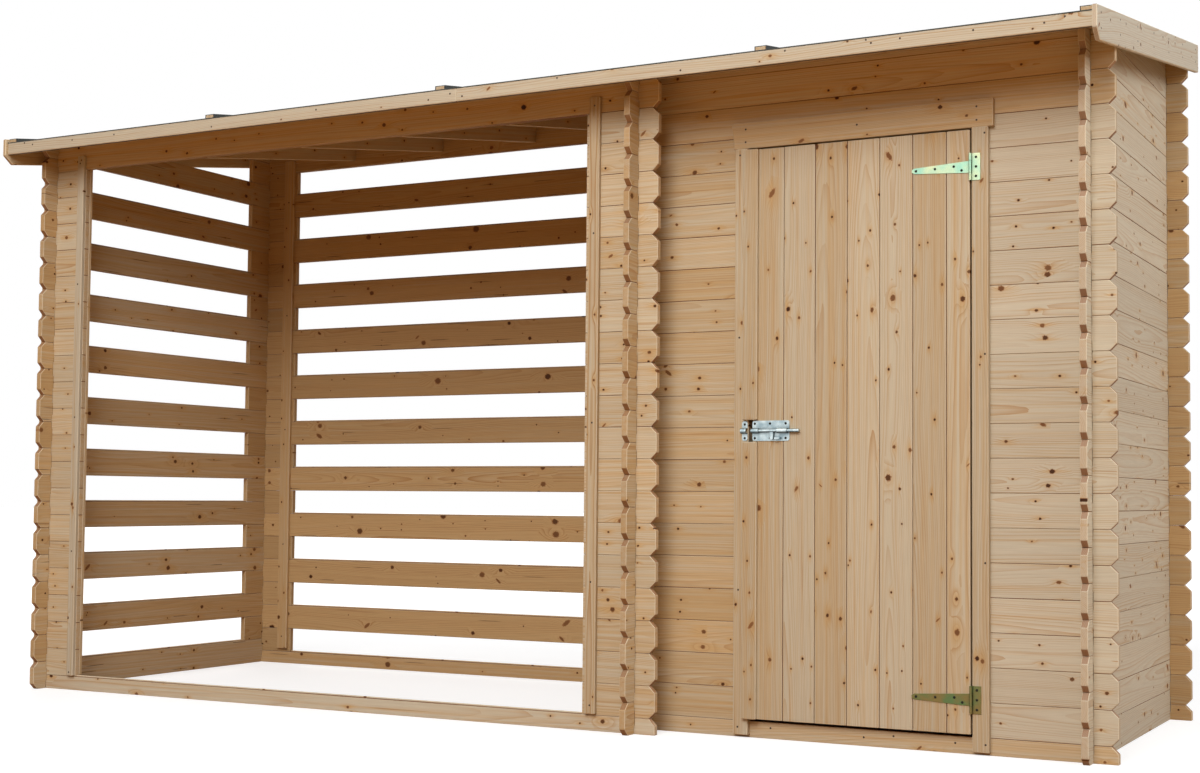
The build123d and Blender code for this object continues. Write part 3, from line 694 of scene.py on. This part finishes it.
def specked(name, scale, dark, light, rough, metallic=0.0):
    # Dark metal with fine lighter specks, also the near-black painted shade in the screws' crosses.
    material = new_material(name)
    mix, noise = wiring(material)[3:]
    coat(material, mix(noise(scale).outputs["Fac"], (*dark, 1.0), (*light, 1.0)), rough, metallic)
    return material


def dome(form, rings):
    # Closes a pile of rings, the widest first, to a head.
    sides = len(rings[0])
    for outer, inner in zip(rings, rings[1:]):
        for n in range(sides):
            m = (n + 1) % sides
            form.faces.new((outer[n], outer[m], inner[m], inner[n]))
    form.faces.new(rings[-1])
    form.faces.new(list(reversed(rings[0])))


def screw_head(form, x, y, z, turn):
    # A domed head that faces the front, with its cross drawn as a flat near-black shape just in front of
    # the dome, painted shade for the recess; the cross is the mesh's second material.
    rings = []
    for share, rise in SCREW_CURVE:
        wide = SCREW_RADIUS * share
        rings.append([form.verts.new((x + wide * math.cos(math.tau * n / SCREW_SIDES), y - SCREW_RISE * rise,
                                      z + wide * math.sin(math.tau * n / SCREW_SIDES)))
                      for n in range(SCREW_SIDES)])
    dome(form, rings)
    arm = CROSS_ARM
    slot = CROSS_SLOT
    top = y - SCREW_RISE - CROSS_LIFT
    cross = [(arm, slot), (slot, slot), (slot, arm), (-slot, arm), (-slot, slot), (-arm, slot), (-arm, -slot),
             (-slot, -slot), (-slot, -arm), (slot, -arm), (slot, -slot), (arm, -slot)]
    corners = []
    for a, b in cross:
        corners.append(form.verts.new((x + a * math.cos(turn) - b * math.sin(turn), top,
                                       z + a * math.sin(turn) + b * math.cos(turn))))
    form.faces.new(corners).material_index = 1


def screws(name, places, plane, body):
    form = bmesh.new()
    for n, (x, z) in enumerate(places):
        screw_head(form, x - ORIGIN_X, plane - ORIGIN_Y, z, FIRST_TURN + NEXT_TURN * n)
    mesh = mesh_of(form, name)
    for face in mesh.polygons:
        face.use_smooth = face.material_index == 0
    link_piece(name, mesh, screw_steel, body)
    mesh.materials.append(recess)


AXIS_X = 3.3115
UPPER_Z = 1.578
LOWER_Z = 0.147
BOLT_LEFT = 2.672
BOLT_Z = 0.871
KEEP_SCREW_X = 2.6475
STRAP_FACE = 0.0875
PLATE_FACE = 0.089
STRAP_SCREWS = ((0.153, 0.0), (0.099, 0.0015), (0.046, 0.004), (0.024, -0.008))    # left of the axis, up
PLATE_SCREW = 0.0155        # right of the axis
PLATE_RISES = (-0.026, 0.0, 0.026)
BOLT_SCREWS = (0.0075, 0.0545, 0.1025)      # right of the plate's left end
BOLT_RISES = (-0.021, 0.0205)
KEEP_RISES = (-0.0205, 0.019)
# The near-black cross in each screw head is painted shade for its recess.
recess = specked("screw_recess", 400.0, (0.012, 0.012, 0.012), (0.05, 0.045, 0.04), rough=0.8)
for part, z in (("upper", UPPER_Z), ("lower", LOWER_Z)):
    screws(part + "_strap_screws", [(AXIS_X - d, z + r) for d, r in STRAP_SCREWS], STRAP_FACE, "door")
    screws(part + "_plate_screws", [(AXIS_X + PLATE_SCREW, z + r) for r in PLATE_RISES], PLATE_FACE,
           "root")
screws("bolt_plate_screws", [(BOLT_LEFT + d, BOLT_Z + r) for d in BOLT_SCREWS for r in BOLT_RISES],
       STRAP_FACE, "door")
screws("bolt_keep_screws", [(KEEP_SCREW_X, BOLT_Z + r) for r in KEEP_RISES], PLATE_FACE, "root")

# Nails: round wire nails with small dark heads, driven flush through the fascias, bargeboards, felt
# strips, trims, posts, jambs and the threshold into the timber behind.
NAIL_CURVE = ((0.0031, -0.0002), (0.0028, 0.0003), (0.0019, 0.0005))    # radius and height of the head
NAIL_SIDES = 10
FRONT = (0.0, -1.0, 0.0)
BACK = (0.0, 1.0, 0.0)
REAR_NAILS_Z = 2.108
BARGEBOARD_TOP = 1.9055     # top edge of the bargeboards at their front end
BARGEBOARD_NAILS = (7, 0.045, 0.22)     # how many, how far from the front end, how far apart
BARGEBOARD_DROPS = (0.018, 0.058)
BATTEN_NAILS = (6, 0.05, 0.2585)
nail_steel = specked("nail_steel", 350.0, (0.030, 0.020, 0.014), (0.090, 0.055, 0.034), rough=0.5,
                     metallic=0.6)


def nail(form, place, facing):
    # A flat head with a rounded rim, seen from the side that it faces.
    facing = Vector(facing).normalized()
    first = facing.orthogonal().normalized()
    second = facing.cross(first)
    rings = []
    for wide, rise in NAIL_CURVE:
        middle = Vector(place) + facing * rise
        rings.append([form.verts.new(middle + first * (wide * math.cos(math.tau * n / NAIL_SIDES))
                                     + second * (wide * math.sin(math.tau * n / NAIL_SIDES)))
                      for n in range(NAIL_SIDES)])
    dome(form, rings)


form = bmesh.new()
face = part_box("front_fascia_left")[0].y
for x, z in ((0.030, 1.888), (0.069, 1.879), (0.255, 1.878), (0.446, 1.879), (0.869, 1.866), (1.292, 1.880),
             (1.715, 1.868), (1.793, 1.879), (1.836, 1.867), (2.163, 1.887), (2.561, 1.866), (2.875, 1.885),
             (3.106, 1.888), (3.120, 1.878), (3.200, 1.881), (3.396, 1.879), (3.579, 1.876), (3.631, 1.886)):
    nail(form, (x - ORIGIN_X, face, z), FRONT)
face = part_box("rear_fascia")[1].y
for x in (0.030, 0.446, 0.869, 1.292, 1.715, 2.138, 2.561, 2.984, 3.407, 3.631):
    nail(form, (x - ORIGIN_X, face, REAR_NAILS_Z), BACK)
many, start, apart = BARGEBOARD_NAILS
for node, end, way in (("left_bargeboard", 0, -1.0), ("right_bargeboard", 1, 1.0)):
    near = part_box(node)[0].y
    for n in range(many):
        y = near + start + n * apart
        for drop in BARGEBOARD_DROPS:
            place = (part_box(node)[end].x, y, BARGEBOARD_TOP + (y - near) * slope - drop)
            nail(form, place, (way, 0.0, 0.0))
many, start, apart = BATTEN_NAILS
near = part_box("roof_battens")[0].y
for x in batten_places:
    for n in range(many):
        y = near + start + n * apart
        nail(form, (x + BATTEN_WIDTH / 2, y, crown + STRIP + (y - near) * slope), (0.0, -slope, 1.0))
for node, x, heights in (("left_opening_trim", 0.139, (0.062, 0.479, 0.944, 1.409, 1.834)),
                         ("right_opening_trim", 2.203, (0.075, 0.432, 0.897, 1.455, 1.834)),
                         ("left_opening_post", 0.141, (0.115, 0.944, 1.780)),
                         ("right_opening_post", 2.192, (0.115, 0.944, 1.780)),
                         ("door_jamb_left", 2.628, (0.030, 0.418, 1.140, 1.668)),
                         ("door_jamb_right", 3.350, (0.030, 0.511, 1.070, 1.668)),
                         ("door_head_board", 2.645, (1.705, 1.742)), ("door_head_board", 2.985, (1.724,)),
                         ("door_head_board", 3.328, (1.705, 1.742)),
                         ("back_corner_battens", 0.130, (0.108, 0.480, 0.945, 1.410, 1.875)),
                         ("back_corner_battens", 2.214, (0.108, 0.480, 0.945, 1.410, 1.875)),
                         ("shed_threshold", 2.722, (0.030,)), ("shed_threshold", 3.001, (0.024,)),
                         ("shed_threshold", 3.087, (0.033,)), ("shed_threshold", 3.261, (0.027,))):
    for z in heights:
        nail(form, (x - ORIGIN_X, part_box(node)[0].y, z), FRONT)
link_piece("nail_heads", mesh_of(form, "nail_heads"), nail_steel, "root")

# Floor: a pale floor without an edge in view, which glows a little more the farther off it is. The
# light that it throws up at the timber is a warm brown.
FLOOR_HALF = 60
FLOOR_WHITE = (0.52, 0.52, 0.52, 1.0)
FLOOR_BOUNCE = (0.405, 0.211, 0.083, 1.0)
GLOW_NEAR = 0.62
GLOW_MORE = 0.40            # the glow grows by this much from the first radius over the second
GLOW_RADII = (3.5, 9.0)
INSIDE_MIDDLE = (1.152, 0.102)      # the shed's own floor doesn't glow
INSIDE_HALF = (0.633, 0.506)


def looked_at(add, calc):
    # One for what the camera sees, straight or in a mirror, and zero for light that bounces on.
    path = add("LightPath")
    return calc("MAXIMUM", path.outputs["Is Camera Ray"],
                calc("MAXIMUM", path.outputs["Is Glossy Ray"], path.outputs["Is Transmission Ray"]))


floor_mesh = bpy.data.meshes.new("floor")
floor_mesh.from_pydata([(-FLOOR_HALF, -FLOOR_HALF, 0), (FLOOR_HALF, -FLOOR_HALF, 0),
                        (FLOOR_HALF, FLOOR_HALF, 0), (-FLOOR_HALF, FLOOR_HALF, 0)], [], [(0, 1, 2, 3)])
floor = bpy.data.objects.new("floor", floor_mesh)
bpy.context.scene.collection.objects.link(floor)
paper = new_material("pale_floor")
add, put, calc = wiring(paper)[:3]
white = add("BsdfDiffuse")
put(white.inputs["Color"], FLOOR_WHITE)
spread = add("SeparateXYZ")
put(spread.inputs[0], add("TexCoord").outputs["Object"])
distance = calc("SQRT", calc("ADD", calc("MULTIPLY", spread.outputs[0], spread.outputs[0]),
                             calc("MULTIPLY", spread.outputs[1], spread.outputs[1])))
beyond = calc("DIVIDE", calc("SUBTRACT", distance, GLOW_RADII[0]), GLOW_RADII[1], clamp=True)
inside = [calc("LESS_THAN", calc("ABSOLUTE", calc("SUBTRACT", spread.outputs[n], INSIDE_MIDDLE[n])),
               INSIDE_HALF[n]) for n in range(2)]
glow = add("Emission")
put(glow.inputs["Strength"], calc("MULTIPLY", calc("MULTIPLY_ADD", beyond, GLOW_MORE, GLOW_NEAR),
                                  calc("SUBTRACT", 1.0, calc("MULTIPLY", inside[0], inside[1]))))
bright = add("AddShader")
put(bright.inputs[0], white.outputs[0])
put(bright.inputs[1], glow.outputs[0])
dull = add("BsdfDiffuse")
put(dull.inputs["Color"], FLOOR_BOUNCE)
either = add("MixShader")
put(either.inputs[0], looked_at(add, calc))
put(either.inputs[1], dull.outputs[0])
put(either.inputs[2], bright.outputs[0])
put(paper.node_tree.nodes[0].inputs["Surface"], either.outputs[0])
floor_mesh.materials.append(paper)

# Sky: white to the camera, and for the timber a soft overcast sky over a warm, dark band at the
# horizon.
SKY_LOW = (0.220, 0.120, 0.055, 1.0)
SKY_HIGH = (0.47, 0.49, 0.51, 1.0)
SKY_CHANGE = (0.05, 0.60)
world = cleared(bpy.data.worlds.new("sky"), "OUTPUT_WORLD")
bpy.context.scene.world = world
add, put, calc, mix = wiring(world)[:4]
heading = add("SeparateXYZ")
put(heading.inputs[0], add("TexCoord").outputs["Generated"])
climb = add("MapRange", interpolation_type="SMOOTHSTEP")
put(climb.inputs["Value"], heading.outputs[2])
put(climb.inputs["From Min"], SKY_CHANGE[0])
put(climb.inputs["From Max"], SKY_CHANGE[1])
sky = add("Background")
put(sky.inputs["Color"], mix(climb.outputs[0], SKY_LOW, SKY_HIGH))
backdrop = add("Background")
put(backdrop.inputs["Color"], (1.0, 1.0, 1.0, 1.0))
choose = add("MixShader")
put(choose.inputs[0], looked_at(add, calc))
put(choose.inputs[1], sky.outputs[0])
put(choose.inputs[2], backdrop.outputs[0])
put(world.node_tree.nodes[0].inputs["Surface"], choose.outputs[0])

# Lamps: a large round one high in front, and weaker ones at the right and at the left behind, which
# stand for the brighter parts of a cloudy sky.
for name, spot, aim, size, power, tint in (
        ("high_front", (1.5, -6.9, 5.3), (0.2, 0.0, 1.1), 5.0, 445.0, (1.0, 0.985, 0.965)),
        ("right_side", (6.8, -1.0, 4.0), (1.8, 0.0, 1.0), 3.5, 160.0, (0.95, 0.985, 1.0)),
        ("left_back", (-6.3, 4.8, 4.4), (-0.6, 0.3, 1.0), 4.0, 220.0, (1.0, 0.985, 0.965))):
    lamp = bpy.data.lights.new(name, "AREA")
    lamp.shape = "DISK"
    lamp.size = size
    lamp.energy = power
    lamp.color = tint
    holder = bpy.data.objects.new(name, lamp)
    bpy.context.scene.collection.objects.link(holder)
    holder.location = spot
    holder.rotation_euler = (Vector(aim) - Vector(spot)).to_track_quat("-Z", "Y").to_euler()

# Camera: it stands where the photographer stood, low and to the right of the door, and looks a
# little upwards.
AZIMUTH = math.radians(27.406)
RISE = math.radians(2.710)
ROLL = math.radians(0.420)
FOCUS = 1721.5
SHIFT = (-50, 30)           # how far the picture's middle lies off the lens's, in pixels
SENSOR = 36.0
PHOTO_WIDTH = 1200
STAND = (4.6714, -4.4040, 0.6778)
ahead = Vector((-math.sin(AZIMUTH) * math.cos(RISE), math.cos(AZIMUTH) * math.cos(RISE), math.sin(RISE)))
level = ahead.cross(Vector((0, 0, 1))).normalized()
up = level.cross(ahead)
across = level * math.cos(ROLL) + up * math.sin(ROLL)
upright = up * math.cos(ROLL) - level * math.sin(ROLL)
camera = bpy.data.cameras.new("photo_view")
camera.sensor_width = SENSOR
camera.lens = FOCUS / PHOTO_WIDTH * SENSOR
camera.shift_x = SHIFT[0] / PHOTO_WIDTH
camera.shift_y = SHIFT[1] / PHOTO_WIDTH
camera.clip_end = 200.0
viewer = bpy.data.objects.new("photo_view", camera)
bpy.context.scene.collection.objects.link(viewer)
viewer.matrix_world = Matrix(((across.x, upright.x, -ahead.x, STAND[0] - ORIGIN_X),
                              (across.y, upright.y, -ahead.y, STAND[1] - ORIGIN_Y),
                              (across.z, upright.z, -ahead.z, STAND[2]), (0, 0, 0, 1)))
bpy.context.scene.camera = viewer
bpy.context.scene.view_settings.view_transform = "Standard"
